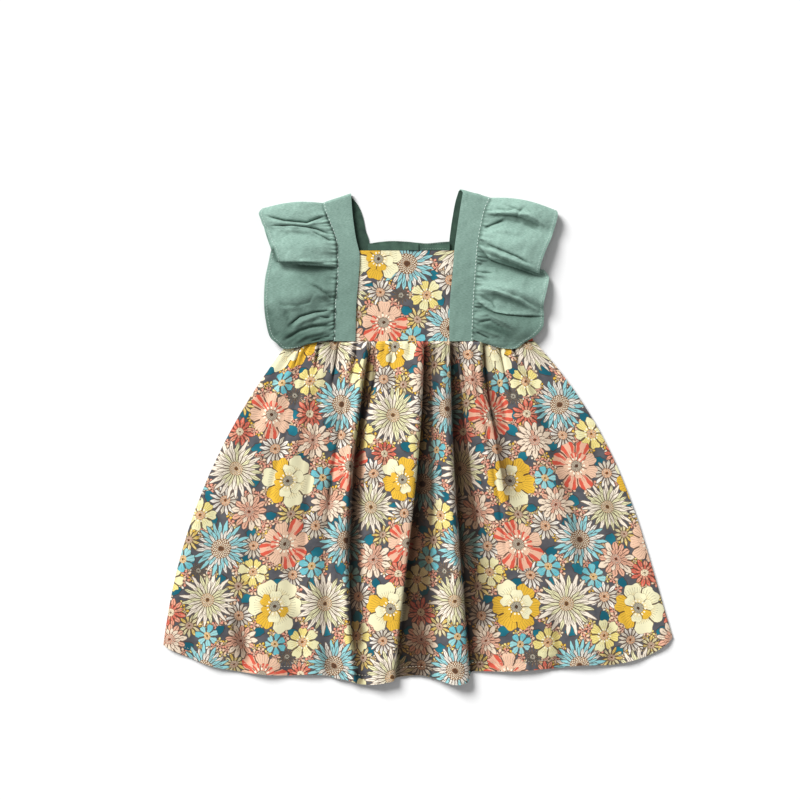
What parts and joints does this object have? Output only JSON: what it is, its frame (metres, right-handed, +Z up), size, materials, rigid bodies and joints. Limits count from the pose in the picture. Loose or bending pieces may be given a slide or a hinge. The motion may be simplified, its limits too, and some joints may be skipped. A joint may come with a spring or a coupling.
{
  "type": "toddler sundress",
  "caption": "Toddler's sundress laid flat, front up: gathered floral skirt and bodice, plain shoulder straps and gathered flutter sleeves.",
  "frame": {"origin": "on the surface that the dress lies on, under the middle of its outline", "axes": "+X to the right as the laid-out front is looked at, +Y from the hem to the shoulders, +Z up out of the front"},
  "size_m": [0.4884, 0.474, 0.017],
  "materials": {
    "printed_cotton": "plain-weave cotton, printed with flowers on slate grey, matte",
    "sage_cotton": "plain-weave cotton, dyed sage green, matte"
  },
  "bodies": {
    "root": {"skirt_front": "printed_cotton", "skirt_back": "printed_cotton", "bodice_front": "printed_cotton", "bodice_back": "sage_cotton", "back_neck_band": "sage_cotton", "back_placket": "sage_cotton", "strap_left": "sage_cotton", "strap_right": "sage_cotton", "ruffle_left": "sage_cotton", "ruffle_right": "sage_cotton"}
  },
  "joints": []
}
